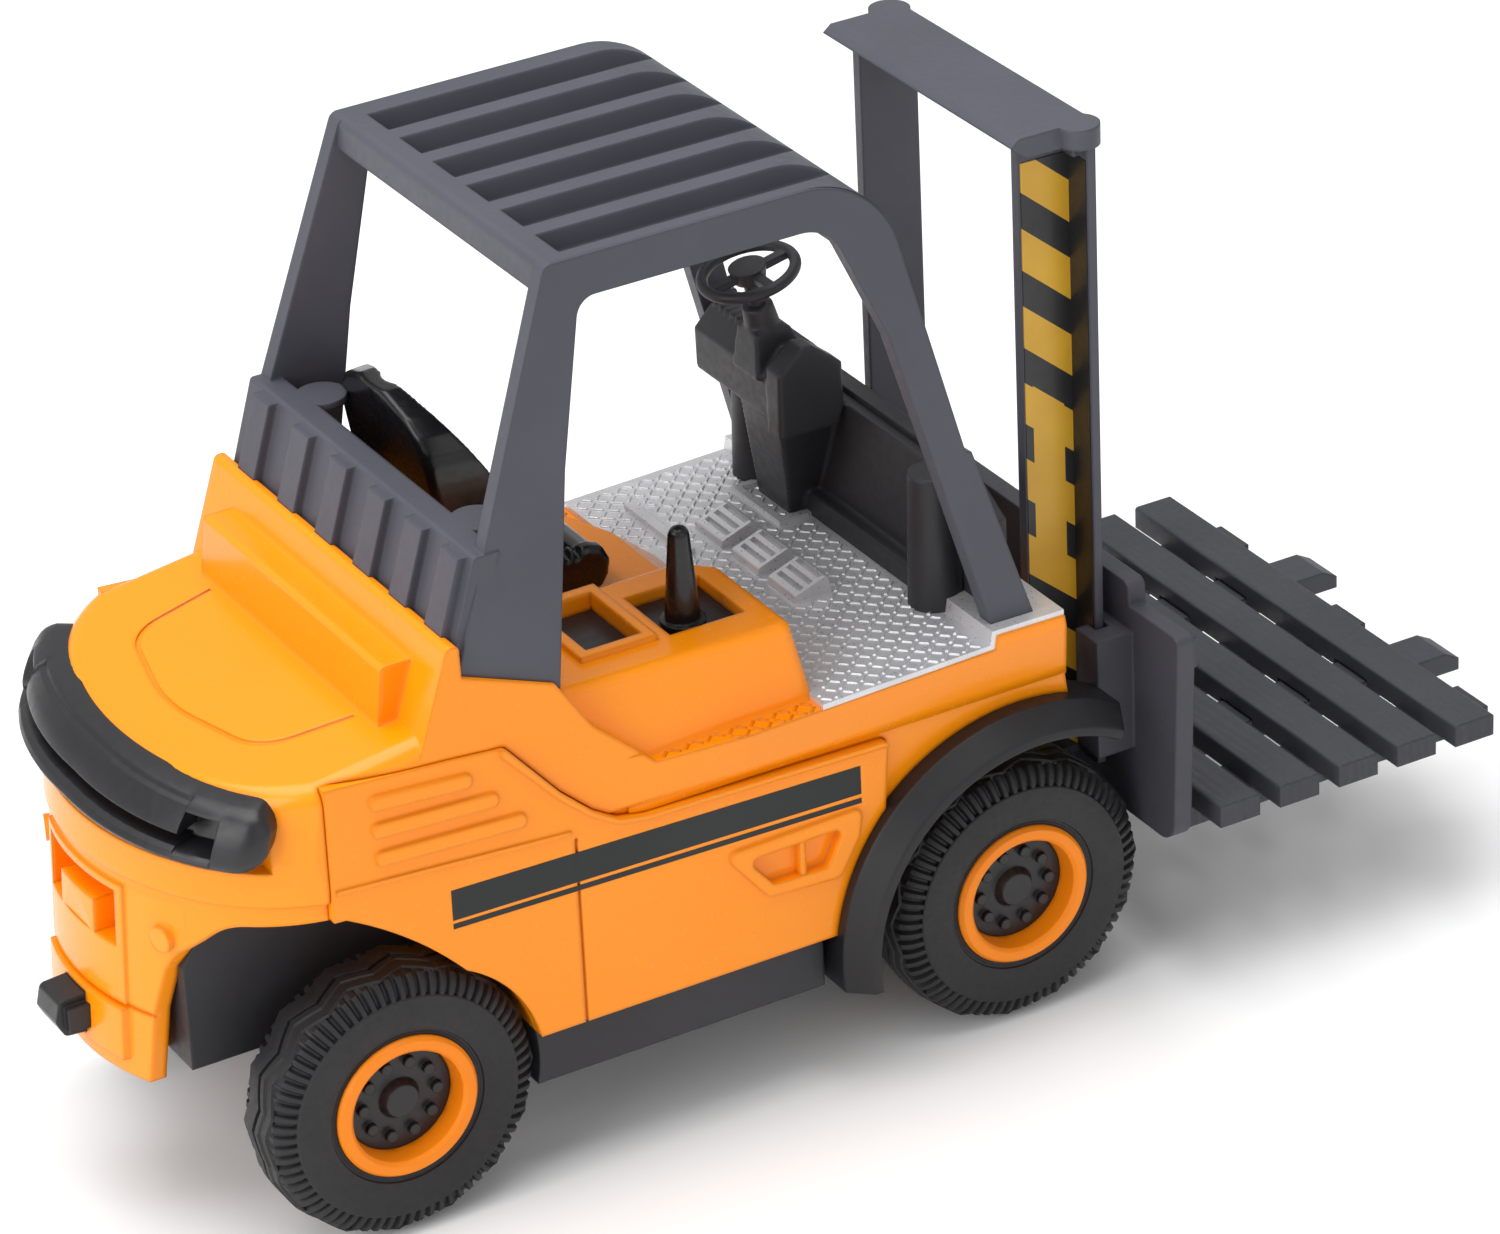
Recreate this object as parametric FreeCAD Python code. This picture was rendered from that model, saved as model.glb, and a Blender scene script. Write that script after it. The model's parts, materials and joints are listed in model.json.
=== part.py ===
"""Toy forklift truck at 1:20, built as separate moulded, cast and pressed pieces.

Lengths are millimetres. X runs forward to the forks, Y to the driver's left, Z up from the ground.
Pieces are drawn with the rear axle over X = 0 and moved by CENTRE_SHIFT on export, so that the
frame origin lies under the middle of the whole toy.
"""
import FreeCAD, Part
import math
import os

# ---- driving dimensions -------------------------------------------------------------------
WHEELBASE = 82.0
TYRE_RADIUS = 17.0
TYRE_INNER_Y = 18.3
TYRE_OUTER_Y = 28.4
RIM_RADIUS = 8.9
AXLE_RADIUS = 1.5
BEARING_GAP = 0.05

REAR_X = -31.0
FORK_TIP_X = 153.5
CENTRE_SHIFT = -(REAR_X + FORK_TIP_X) / 2

HULL_CENTRE_X = -3.0
BODY_HALF_WIDTH = 28.5
BODY_BOTTOM_Z = 20.5
BONNET_EDGE_RADIUS = 2.5
PANEL_SEAT_Y = 27.3
PANEL_FACE_Y = 28.7
ARCH_RADIUS = 26.0

GUARD_TOP_Z = 113.3
GUARD_TOP_Y = 25.1
GUARD_PLATE = 2.2
GUARD_SPLAY_DEG = 3.55
LOUVRE_COUNT = 6
LOUVRE_PITCH = 7.9

MAST_WEB_Y = 16.4
MAST_WEB_THICK = 1.5
MAST_REAR_X = 90.0
MAST_FRONT_X = 97.8
FILM = 0.15
MAST_TOP_Z = 109.6
FLANGE_Y = 21.9

HOOK_Y = 25.4
PLATE_REAR_X = 99.6
PLATE_FRONT_X = 102.0
TINE_Y = 13.0
TINE_WIDTH = 6.0
TINE_TOP_Z = 21.9
TINE_BOTTOM_Z = 19.2

PLANK_COUNT = 5
PLANK_PITCH = 8.48
PLANK_WIDTH = 5.6
PLANK_TOP_Z = 24.3
PLANK_BOTTOM_Z = 21.4
PALLET_HALF_Y = 34.7
STRINGER_Y = 25.6

DRIVER_Y = 10.0
PANEL_SEAM = 0.15


# ---- helpers ------------------------------------------------------------------------------
def at(plane, a, b, offset):
    """Point (a, b) of a plane "xz", "xy" or "yz" held at an offset along its normal."""
    if plane == "xz":
        return FreeCAD.Vector(a, offset, b)
    if plane == "xy":
        return FreeCAD.Vector(a, b, offset)
    return FreeCAD.Vector(offset, a, b)


def rounded(prev, corner, nxt, radius):
    """Start, middle and end of the arc that rounds one corner."""
    to_prev = (prev - corner).normalize()
    to_next = (nxt - corner).normalize()
    half = to_prev.getAngle(to_next) / 2
    reach = radius / math.tan(half)
    bisector = (to_prev + to_next).normalize()
    centre = corner + bisector * (radius / math.sin(half))
    return corner + to_prev * reach, centre - bisector * radius, corner + to_next * reach


def outline(plane, corners, offset=0.0):
    """Closed wire. A corner is (a, b) or (a, b, radius); ("via", a, b) bends a side into an arc."""
    count = len(corners)
    solid_corners = [c for c in corners if c[0] != "via"]
    points = [at(plane, c[0], c[1], offset) for c in solid_corners]
    ends = []
    for i, corner in enumerate(solid_corners):
        if len(corner) > 2:
            ends.append(rounded(points[i - 1], points[i], points[(i + 1) % len(points)], corner[2]))
        else:
            ends.append((points[i], None, points[i]))
    vias = {}
    seen = 0
    for i in range(count):
        if corners[i][0] == "via":
            vias[seen - 1] = at(plane, corners[i][1], corners[i][2], offset)
        else:
            seen += 1
    edges = []
    for i in range(len(points)):
        if ends[i][1] is not None:
            edges.append(Part.Arc(*ends[i]).toShape())
        start = ends[i][2]
        stop = ends[(i + 1) % len(points)][0]
        if i in vias:
            edges.append(Part.Arc(start, vias[i], stop).toShape())
        elif (stop - start).Length > 1e-6:
            edges.append(Part.LineSegment(start, stop).toShape())
    return Part.Wire(edges)


def prism(plane, corners, low, high):
    """Outline drawn at offset low and extruded to offset high."""
    return Part.Face(outline(plane, corners, low)).extrude(at(plane, 0, 0, high - low))


def block(x0, x1, y0, y1, z0, z1):
    return Part.makeBox(x1 - x0, y1 - y0, z1 - z0, FreeCAD.Vector(x0, y0, z0))


def rod(radius, start, axis, length):
    return Part.makeCylinder(radius, length, FreeCAD.Vector(*start), FreeCAD.Vector(*axis))


def spun(profile, centre, axis_start_deg=0.0, sweep_deg=360.0):
    """Profile of (y, radius) points turned about a cross axle through centre (x, z)."""
    points = [FreeCAD.Vector(centre[0] + r, y, centre[1]) for y, r in profile]
    face = Part.Face(Part.makePolygon(points + points[:1]))
    pivot = FreeCAD.Vector(centre[0], 0, centre[1])
    axis = FreeCAD.Vector(0, -1, 0)
    face.rotate(pivot, axis, axis_start_deg)
    return face.revolve(pivot, axis, sweep_deg)


def mirrored(shape):
    return shape.mirror(FreeCAD.Vector(0, 0, 0), FreeCAD.Vector(0, 1, 0))


def both_sides(shape):
    return shape.fuse(mirrored(shape))


def hull_section(z, reach, half_width, front_x):
    """Half ellipse at the tail joined to straight sides, at one height."""
    side = FreeCAD.Vector(HULL_CENTRE_X, half_width, z)
    tail = FreeCAD.Vector(HULL_CENTRE_X - reach, 0, z)
    curve = Part.Ellipse(side, tail, FreeCAD.Vector(HULL_CENTRE_X, 0, z))
    corners = [FreeCAD.Vector(HULL_CENTRE_X, -half_width, z), FreeCAD.Vector(front_x, -half_width, z),
               FreeCAD.Vector(front_x, half_width, z), side]
    edges = [Part.Arc(curve, 0, math.pi).toShape()]
    for i in range(3):
        edges.append(Part.LineSegment(corners[i], corners[i + 1]).toShape())
    return Part.Wire(edges)


def hull(levels, front_x):
    """Stack of ruled lofts through (z, reach, half_width) levels."""
    parts = []
    for low, high in zip(levels, levels[1:]):
        if high[0] > low[0]:
            parts.append(Part.makeLoft([hull_section(*low, front_x), hull_section(*high, front_x)],
                                       True, True))
    body = parts[0]
    for extra in parts[1:]:
        body = body.fuse(extra)
    return body


def export(name, shape):
    moved = shape.removeSplitter()
    moved.translate(FreeCAD.Vector(CENTRE_SHIFT, 0, 0))
    moved.exportStep("parts/" + name + ".step")


# ---- grille bar across the tail -----------------------------------------------------------
BAR_OUTER = [(50.8, 22.6, 32.2), (53.0, 22.9, 33.0), (59.3, 18.3, 31.6)]
BAR_INNER = [(50.8, 20.8, 27.2), (53.0, 20.8, 27.2), (59.3, 16.6, 27.0)]
bar_blank = hull(BAR_OUTER, 5.0).cut(hull(BAR_INNER, 6.0))
bar_blank = bar_blank.common(block(-40, -13.2, -40, 40, 50, 60))
bar_slot = hull([(53.6, 24.5, 35.0), (55.8, 23.5, 34.5)], 5.0)
bar_slot = bar_slot.cut(hull([(53.0, 21.6, 28.2), (56.4, 19.9, 27.9)], 6.0))
bar_slot = bar_slot.common(block(-40, 0, -23.5, 23.5, 50, 60))
rear_grille_bar = bar_blank.cut(bar_slot)

# ---- cast body ----------------------------------------------------------------------------
FLOOR_REAR = (33.7, 51.1)
FLOOR_FRONT = (77.6, 52.3)
SIDE_PROFILE = [
    (-32, 20.5), (-32, 57.6), (5.2, 62.6), (8.7, 73.1, 0.8), (10.2, 73.1, 0.6), (10.3, 69.0),
    (21.7, 64.7), (26.1, 57.9), FLOOR_REAR, FLOOR_FRONT, (77.9, 54.0), (87.0, 53.9),
    (88.8, 42.1), ("via", WHEELBASE - 18.4, 17 + 18.4), (56.2, BODY_BOTTOM_Z),
    (16.0, BODY_BOTTOM_Z), ("via", 8.2, 32.5), (-6.0, 43.8), (-17.2, 43.4, 3.5), (-23.2, 36.0),
    (-24.3, BODY_BOTTOM_Z)]
CAVITY_PROFILE = [
    (18.2, 20.0), ("via", 9.6, 33.8), (-5.5, 45.5), (-14.0, 45.5), (-14.0, 58.2), (4.8, 60.8),
    (9.6, 68.2), (20.6, 63.4), (25.0, 56.6), (32.8, 49.4), (77.0, 50.6), (85.0, 51.6),
    (86.2, 44.2), ("via", WHEELBASE - 19.6, 17 + 19.6), (54.6, 20.0)]
hull_solid = hull([(20.4, 23.8, 27.2), (46.3, 22.1, 28.1)], 90.0)
upper_hull = hull([(46.3, 22.5, 29.0), (52.0, 22.0, 29.6), (74.0, 8.4, 29.8)], 90.0)
upper_hull = upper_hull.common(block(-40, 95, -BODY_HALF_WIDTH, BODY_HALF_WIDTH, 40, 80))
hull_solid = hull_solid.fuse(upper_hull)
flare_rear = Part.makePolygon([at("yz", 28.4, 45, 30), at("yz", 28.5, 52.5, 30), at("yz", 28.4, 52.5, 30),
                               at("yz", 28.4, 45, 30)])
flare_front = Part.makePolygon([at("yz", 28.4, 45, 45), at("yz", 30.5, 52.5, 45), at("yz", 28.4, 52.5, 45),
                                at("yz", 28.4, 45, 45)])
flare = Part.makeLoft([flare_rear, flare_front], True, True)
flare = flare.fuse(prism("yz", [(28.4, 45), (30.5, 52.5), (30.5, 56), (28.4, 56)], 45, 90))
body = hull_solid.fuse(both_sides(flare)).common(prism("xz", SIDE_PROFILE, -40, 40))
tail_wall = hull([(20.5, 23.8, 27.2), (45.0, 22.2, 28.1)], 0.0)
tail_wall = tail_wall.cut(hull([(20.4, 22.0, 25.4), (45.1, 20.4, 26.3)], 1.0))
TAIL_WALL_EDGE = [(17.5, 46), (17.5, 41), (14.8, 36), (13.2, 30), (12.2, 20)]
tail_wall_limit = prism("yz", TAIL_WALL_EDGE + [(-y, z) for y, z in reversed(TAIL_WALL_EDGE)], -40, -15)
body = body.fuse(tail_wall.common(tail_wall_limit))


def on_bonnet(edge):
    """True for an edge that runs round the rim of the sloping bonnet."""
    (x0, z0), (x1, z1) = SIDE_PROFILE[1:3]
    span = edge.LastParameter - edge.FirstParameter
    points = [edge.valueAt(edge.FirstParameter + span * k / 4) for k in range(5)]
    level = all(abs(p.z - z0 - (p.x - x0) * (z1 - z0) / (x1 - x0)) < 0.05 for p in points)
    across = all(abs(p.x - x1) < 0.05 for p in points)
    return level and not across


body = body.makeFillet(BONNET_EDGE_RADIUS, [edge for edge in body.Edges if on_bonnet(edge)])
hinge_step = prism("xz", [(2.6, 60), (3.7, 69.4, 0.6), (9.0, 69.4), (9.0, 60)], -22.0, 22.0)
body = body.fuse(hinge_step)

console_low = outline("xy", [(24, -5.0), (51.6, -5.0), (55.7, -9.6, 1.5), (55.7, -27.6, 1.5),
                             (24, -27.2)], 50.5)
console_high = outline("xy", [(24, -5.7), (50.3, -5.7), (53.4, -9.2, 1.5), (53.4, -26.2, 1.5),
                              (24, -25.4)], 61.5)
console = Part.makeLoft([console_low, console_high], True, True)
console = console.makeFillet(1.0, [edge for edge in console.Edges if edge.BoundBox.ZMin > 61.4])
pedestal_low = outline("xy", [(24, -6.0), (59.0, -6.0), (59.0, 13.0, 4), (54.8, 22.5, 2), (24, 22.5)], 50.5)
pedestal_high = outline("xy", [(24, -6.0), (51.5, -6.0), (51.5, 12.0, 4), (48.5, 20.5, 2), (24, 20.5)], 57.0)
pedestal = Part.makeLoft([pedestal_low, pedestal_high], True, True)
body = body.fuse(console).fuse(pedestal)
body = body.fuse(block(29.0, 38.9, -21.0, -6.2, 61.0, 62.2))

tail_block = hull([(22.6, 24.0, 27.6), (44.8, 22.6, 28.6)], 0.0).common(block(-40, -20, -9.5, 9.5, 22, 45))
tail_step = hull([(22.6, 24.5, 28.0), (29.2, 24.1, 28.0)], 0.0).common(block(-40, -20, -9.5, 9.5, 22, 30))
body = body.fuse(tail_block).fuse(tail_step)
tail_seam = hull([(29.2, 26.0, 30.0), (29.7, 26.0, 30.0)], 0.0)
tail_seam = tail_seam.cut(hull([(29.1, 22.9, 26.5), (29.8, 22.9, 26.5)], 1.0))
body = body.cut(tail_seam.common(block(-40, -18, -40, 40, 29, 30)))

cavity_hull = hull([(19.9, 21.8, 25.6), (52.0, 20.2, 25.6), (59.2, 15.8, 25.6), (74.0, 6.8, 25.6)], 90.0)
body = body.cut(cavity_hull.common(prism("xz", CAVITY_PROFILE, -30, 30)))
body = body.cut(block(29.5, 51.5, -23.6, -7.2, 45, 59.9))
body = body.cut(block(40.6, 50.4, -20.8, -10.2, 59, 63))
body = body.cut(block(30.4, 37.6, -19.6, -7.8, 59, 63))
tail_window = block(-30, -22.0, -8.3, 8.3, 36.8, 43.9)
body = body.cut(tail_window.cut(block(-25.9, -20, -4.2, 4.2, 36, 41)))
lamp = rod(1.6, (-20.4, 14.2, 40.1), (-0.94, 0.34, 0), 2.45)
body = body.fuse(both_sides(lamp))

# lid line cut into the bonnet
LID_LINE = 0.45
LID = [(4.5, -18.6, 0.5), (-9.4, -16.4, 6), (-12.4, -3.0, 20), (-12.4, 3.0, 20), (-9.4, 16.4, 6),
       (4.5, 18.6, 0.5)]
LID_INNER = [(x + LID_LINE, y - math.copysign(LID_LINE, y), r) for x, y, r in LID]
lid_ring = prism("xy", LID, 55, 70).cut(prism("xy", LID_INNER, 55, 70))
lid_ring = lid_ring.common(block(-20, 2.0, -20, 20, 55, 70))
bonnet_skin = prism("xz", [(-32, 57.35), (-32, 70), (3, 70), (3, 62.05)], -30, 30)
body = body.cut(lid_ring.common(bonnet_skin))

# ---- side panels --------------------------------------------------------------------------
PANEL = [
    (-7.5, 60.6), (-7.5, 43.9), (-6.0, 43.8), ("via", 8.2, 32.5), (16.0, BODY_BOTTOM_Z),
    (56.2, BODY_BOTTOM_Z), ("via", 58.7, 28.6), (63.3, 35.2), (64.0, 44.2, 1.0), (32.0, 44.9, 2.0),
    (28.5, 45.5, 2.0), (25.3, 47.5, 2.0), (21.4, 51.1, 2.0), (14.8, 58.9, 1.0), (8.1, 59.5)]
panel = prism("xz", PANEL, PANEL_SEAT_Y, PANEL_FACE_Y)
pocket_face = Part.Face(outline("xz", PANEL, PANEL_SEAT_Y)).makeOffset2D(PANEL_SEAM)
panel_pocket = pocket_face.extrude(FreeCAD.Vector(0, PANEL_FACE_Y + 8 - PANEL_SEAT_Y, 0))
body = body.cut(both_sides(panel_pocket))
RIM_LINE = [(14.0, 62.0), (14.2, 58.0), (21.0, 50.4), (25.0, 46.8), (28.3, 44.8), (32.0, 44.2), (70.0, 43.3),
            (70.0, 62.0)]
rim_strip = prism("xz", PANEL, PANEL_FACE_Y - 0.5, PANEL_FACE_Y + 0.5)
panel = panel.fuse(rim_strip.common(prism("xz", RIM_LINE, 20, 40)))
VENT_BARS = [(-2.2, 58.2, 10.3, 57.3), (-2.1, 54.7, 13.4, 53.9), (-1.9, 51.1, 16.7, 50.2)]
for x0, z0, x1, z1 in VENT_BARS:
    bar = prism("xz", [(x0, z0, 0.8), (x1, z1, 0.8), (x1 + 0.4, z1 - 1.8, 0.8), (x0, z0 - 1.8, 0.8)],
                PANEL_FACE_Y - 0.2, PANEL_FACE_Y + 0.5)
    panel = panel.fuse(bar)
panel = panel.fuse(prism("xz", [(-7.0, 47.9), (22.4, 45.8), (22.4, 45.2), (-7.0, 47.3)],
                         PANEL_FACE_Y - 0.2, PANEL_FACE_Y + 0.3))
panel = panel.cut(block(22.8, 23.2, PANEL_FACE_Y - 0.5, PANEL_FACE_Y + 1, 20, 44.6))
HANDLE = [(41.4, 36.2, 1), (60.0, 36.6, 1), (59.5, 33.0, 1), (56.8, 28.4, 1), (47.2, 28.9, 1)]
HANDLE_CUP = [(44.4, 34.6, 0.8), (57.4, 34.8, 0.8), (55.2, 30.2, 0.8), (47.9, 30.4, 0.8)]
panel = panel.fuse(prism("xz", HANDLE, PANEL_FACE_Y - 0.2, PANEL_FACE_Y + 0.5))
panel = panel.cut(prism("xz", HANDLE_CUP, PANEL_FACE_Y - 0.8, PANEL_FACE_Y + 1))
panel = panel.fuse(block(51.5, 52.3, PANEL_FACE_Y - 1, PANEL_FACE_Y + 0.3, 30.0, 35.0))
STRIPE = [(7.0, 43.2), (60.1, 41.9), (60.1, 38.2), (7.0, 39.3)]
STRIPE_LINE = [(7.0, 38.9), (60.1, 37.7), (60.1, 37.0), (7.0, 38.2)]
stripe = Part.makeCompound([prism("xz", band, PANEL_FACE_Y - 0.1, PANEL_FACE_Y + 0.02)
                            for band in (STRIPE, STRIPE_LINE)])
panel = panel.cut(stripe)

# ---- floor plate with pedals --------------------------------------------------------------
FLOOR_STRIP = [FLOOR_REAR, FLOOR_FRONT, (77.9, 54.0), (87.0, 53.9), (87.0, 54.6), (77.3, 54.7),
               (77.0, 53.0), (FLOOR_REAR[0] - 0.6, 51.8)]
floor_plate = prism("xz", FLOOR_STRIP, -30.5, 30.5)
floor_plate = floor_plate.cut(block(20, 54.6, -40, 40, 45, 60))
FLOOR_LEFT_TRIM = [(20, 28.2), (30, 28.2), (45, 30.3), (95, 30.3), (95, 40), (20, 40)]
floor_plate = floor_plate.cut(prism("xy", FLOOR_LEFT_TRIM, 45, 60))
floor_plate = floor_plate.cut(prism("xy", [(40, -30.3), (95, -30.3), (95, -40), (40, -40)], 45, 60))
PEDAL_SIDE = [(63.6, 51.4), (64.2, 53.6, 0.4), (68.6, 55.2, 0.5), (69.4, 51.4)]
PEDAL_Y = [11.6, 3.2, -5.2]
for y in PEDAL_Y:
    pedal = prism("xz", PEDAL_SIDE, y - 3.1, y + 3.1)
    for i in range(3):
        groove_x = 65.0 + 1.3 * i
        pedal = pedal.cut(block(groove_x, groove_x + 0.6, y - 2.6, y + 2.6, 53.5 + 0.47 * i, 56))
    floor_plate = floor_plate.fuse(pedal)
floor_plate = floor_plate.fuse(block(59.6, 61.0, 9.5, 24.2, 51.2, 53.2))
foot_frame = block(72.4, 79.6, 9.2, 20.6, 51.4, 53.4).cut(block(73.4, 78.8, 10.2, 19.6, 50, 56))
floor_plate = floor_plate.fuse(foot_frame.cut(block(77.0, 80, 0, 24, 50, 60)))
floor_plate = floor_plate.cut(console).cut(pedestal)
body = body.cut(floor_plate)

# ---- running gear -------------------------------------------------------------------------
WHEEL_ROOM = TYRE_RADIUS + 0.5
wheel_room = rod(WHEEL_ROOM, (0.0, TYRE_INNER_Y - 0.4, TYRE_RADIUS), (0, 1, 0), 20.0)
wheel_room = wheel_room.fuse(rod(WHEEL_ROOM, (WHEELBASE, TYRE_INNER_Y - 0.4, TYRE_RADIUS), (0, 1, 0), 20.0))
CHASSIS_PROFILE = [
    (-20.6, 22.8), (-20.6, 36.0), (-17.0, 42.4), (-7.0, 42.8), (0.0, 40.0), (7.0, 32.2), (14.0, 21.0),
    (56.6, 21.0), (60.0, 27.0), (68.0, 37.4), (82.0, 41.4), (88.5, 40.6), (88.5, 13.3), (-6.0, 13.3),
    (-9.0, 22.8)]
chassis = prism("xz", CHASSIS_PROFILE, -16.0, 16.0)
chassis = chassis.fuse(block(16.9, 55.2, -27.0, 27.0, 13.3, BODY_BOTTOM_Z))
chassis = chassis.cut(block(-18.6, 12.0, -14.0, 14.0, 24.6, 60.0))
chassis = chassis.cut(block(18.9, 53.2, -25.0, 25.0, 15.0, 60.0))
chassis = chassis.cut(block(62.0, 86.5, -14.0, 14.0, 22.0, 60.0))
chassis = chassis.common(block(-30, 100, -30, 30, 13.3, 60))
body = body.cut(prism("xz", CHASSIS_PROFILE, -16.0, 16.0))
for axle_x in (0.0, WHEELBASE):
    chassis = chassis.cut(rod(AXLE_RADIUS + BEARING_GAP, (axle_x, -30, TYRE_RADIUS), (0, 1, 0), 60))
SCREWS = [(22.5, 18.0), (50.0, 18.0), (22.5, -18.0), (50.0, -18.0)]
screws = []
for x, y in SCREWS:
    chassis = chassis.fuse(rod(2.8, (x, y, 14.5), (0, 0, 1), 6.0))
for x, y in SCREWS:
    chassis = chassis.cut(rod(1.9, (x, y, 13.0), (0, 0, 1), 1.8))
    head = rod(1.9, (x, y, 13.6), (0, 0, 1), 1.2)
    head = head.cut(block(x - 1.3, x + 1.3, y - 0.2, y + 0.2, 13, 14.1))
    screws.append(head.cut(block(x - 0.2, x + 0.2, y - 1.3, y + 1.3, 13, 14.1)))
body_screws = Part.makeCompound(screws)


def wheel(axle_x, side):
    """Tyre, rim and hub cap on one end of an axle; side is 1 on the left and -1 on the right."""
    centre = (axle_x, TYRE_RADIUS)
    tyre = spun([(TYRE_INNER_Y + 0.4, RIM_RADIUS), (TYRE_INNER_Y, 12.5), (TYRE_INNER_Y + 0.7, 15.4),
                 (TYRE_INNER_Y + 1.9, 16.8), (22.0, TYRE_RADIUS), (24.8, TYRE_RADIUS), (26.8, 16.7),
                 (27.8, 15.5), (TYRE_OUTER_Y, 13.0), (28.2, 10.2), (27.8, RIM_RADIUS)], centre)
    rim = spun([(TYRE_INNER_Y + 0.4, AXLE_RADIUS), (TYRE_INNER_Y + 0.4, RIM_RADIUS), (28.0, RIM_RADIUS),
                (28.5, 8.5), (28.5, 7.4), (28.1, 7.0), (24.8, 6.6), (24.8, AXLE_RADIUS)], centre)
    cap = rod(6.6, (axle_x, 24.8, TYRE_RADIUS), (0, 1, 0), 0.9)
    cap = cap.fuse(Part.makeCone(2.6, 2.0, 1.1, FreeCAD.Vector(axle_x, 25.7, TYRE_RADIUS),
                                 FreeCAD.Vector(0, 1, 0)))
    for i in range(10):
        angle = math.radians(36 * i)
        spot = (axle_x + 4.7 * math.cos(angle), 25.7, TYRE_RADIUS + 4.7 * math.sin(angle))
        cap = cap.fuse(rod(0.7, spot, (0, 1, 0), 0.8))
    shapes = [tyre, rim, cap]
    if side < 0:
        shapes = [mirrored(shape) for shape in shapes]
    return shapes


# ---- front fender -------------------------------------------------------------------------
FENDER_PROFILE = [(24.5, ARCH_RADIUS), (30.0, ARCH_RADIUS), (32.8, 23.6), (33.0, 22.6), (32.2, 22.2),
                  (28.6, 24.9), (24.5, 24.9)]
fender = spun(FENDER_PROFILE, (WHEELBASE, TYRE_RADIUS), 61.0, 127.0)
chassis = chassis.cut(both_sides(fender)).cut(both_sides(wheel_room))
body = body.cut(both_sides(wheel_room))
panel = panel.cut(wheel_room)

# ---- tow hook -----------------------------------------------------------------------------
HOOK_SIDE = [(-25.0, 23.2), (-25.0, 28.6), (-30.4, 28.2, 0.8), (-31.0, 25.6, 0.8), (-30.0, 23.6, 0.8)]
tow_hook = prism("xz", HOOK_SIDE, -2.6, 2.6)
tow_hook = tow_hook.fuse(block(-29.8, -27.0, -3.6, 3.6, 24.4, 27.4))
body = body.cut(block(-28.5, -25.0, -2.6, 2.6, 23.2, 28.6))
tow_hook = tow_hook.cut(body)
body = body.cut(bar_blank)

# ---- overhead guard -----------------------------------------------------------------------
GUARD_SIDE = [
    (25.3, GUARD_TOP_Z, 1.2), (9.9, 67.9), (22.5, 63.6), (25.6, 89.2), (29.1, 108.5, 2.5),
    (60.6, 108.5, 5.5), (67.4, 93.2), (78.8, 52.0), (84.6, 52.0), (77.0, 76.6), (76.2, 76.9),
    (67.0, GUARD_TOP_Z, 12.0)]
side_plate = prism("xz", GUARD_SIDE, GUARD_TOP_Y - GUARD_PLATE, GUARD_TOP_Y)
side_plate.rotate(FreeCAD.Vector(0, GUARD_TOP_Y, GUARD_TOP_Z), FreeCAD.Vector(1, 0, 0), GUARD_SPLAY_DEG)
ROOF = [(25.3, GUARD_TOP_Z, 1.2), (25.0, 109.5), (59.6, 109.5, 6.0), (64.4, 103.2), (69.3, 105.2),
        (67.0, GUARD_TOP_Z, 12.0)]
roof = prism("xz", ROOF, -GUARD_TOP_Y + 0.4, GUARD_TOP_Y - 0.4)
for k in range(LOUVRE_COUNT):
    high_y = 22.0 - LOUVRE_PITCH * k
    low_y = high_y - 5.5
    groove = prism("yz", [(high_y, GUARD_TOP_Z + 0.05), (low_y, GUARD_TOP_Z + 0.05), (high_y - 0.5, 110.7)],
                   28.4, 72.0)
    roof = roof.cut(groove)
guard = roof.fuse(both_sides(side_plate))
REAR_PANEL = [(9.3, 68.4), (13.5, 82.3, 0.5), (16.6, 82.3), (12.6, 68.0)]
guard = guard.fuse(prism("xz", REAR_PANEL, -27.2, 27.2))
RIB_RIGHT_Y = [20.0, 10.0, 0.6, -8.7, -17.4, -25.8]
for y in RIB_RIGHT_Y:
    guard = guard.fuse(prism("xz", [(10.2, 71.4), (9.3, 72.6), (12.2, 81.9), (14.0, 81.9)], y, y + 4.0))
guard = guard.fuse(both_sides(rod(3.0, (18.3, 18.7, 81.4), (0, 0, 1), 0.9)))
guard = guard.cut(body).cut(floor_plate)

# ---- cab fittings -------------------------------------------------------------------------
SEAT_BACK = [(-7.5, 57.5, 1), (-10.4, 70.0, 5), (-10.9, 80.5, 4), (-6.8, 86.8, 4), (6.8, 86.8, 4),
             (10.9, 80.5, 4), (10.4, 70.0, 5), (7.5, 57.5, 1)]
SEAT_DISH = [(-5.0, 62.5, 1), (-7.6, 72.0, 3), (-7.8, 79.6, 3), (-4.8, 83.6, 2), (4.8, 83.6, 2),
             (7.8, 79.6, 3), (7.6, 72.0, 3), (5.0, 62.5, 1)]
seat_back = prism("yz", SEAT_BACK, 24.6, 29.0).cut(prism("yz", SEAT_DISH, 26.8, 30.0))
seat_back.rotate(FreeCAD.Vector(26.0, 0, 57.5), FreeCAD.Vector(0, 1, 0), -7.5)
CUSHION = [(26.0, 57.0), (26.0, 62.6), (31.0, 61.4), (42.5, 62.6, 1.5), (45.2, 60.2, 1), (44.0, 57.0)]
cushion = prism("xz", CUSHION, -9.4, 9.4)
CUSHION_DISH = [(30.0, -6.0, 1), (40.5, -6.0, 2), (40.5, 6.0, 2), (30.0, 6.0, 1)]
cushion = cushion.cut(prism("xy", CUSHION_DISH, 61.0, 64))
seat = seat_back.fuse(cushion)
seat.translate(FreeCAD.Vector(0, DRIVER_Y, 0))
seat = seat.cut(body).cut(guard)

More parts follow.
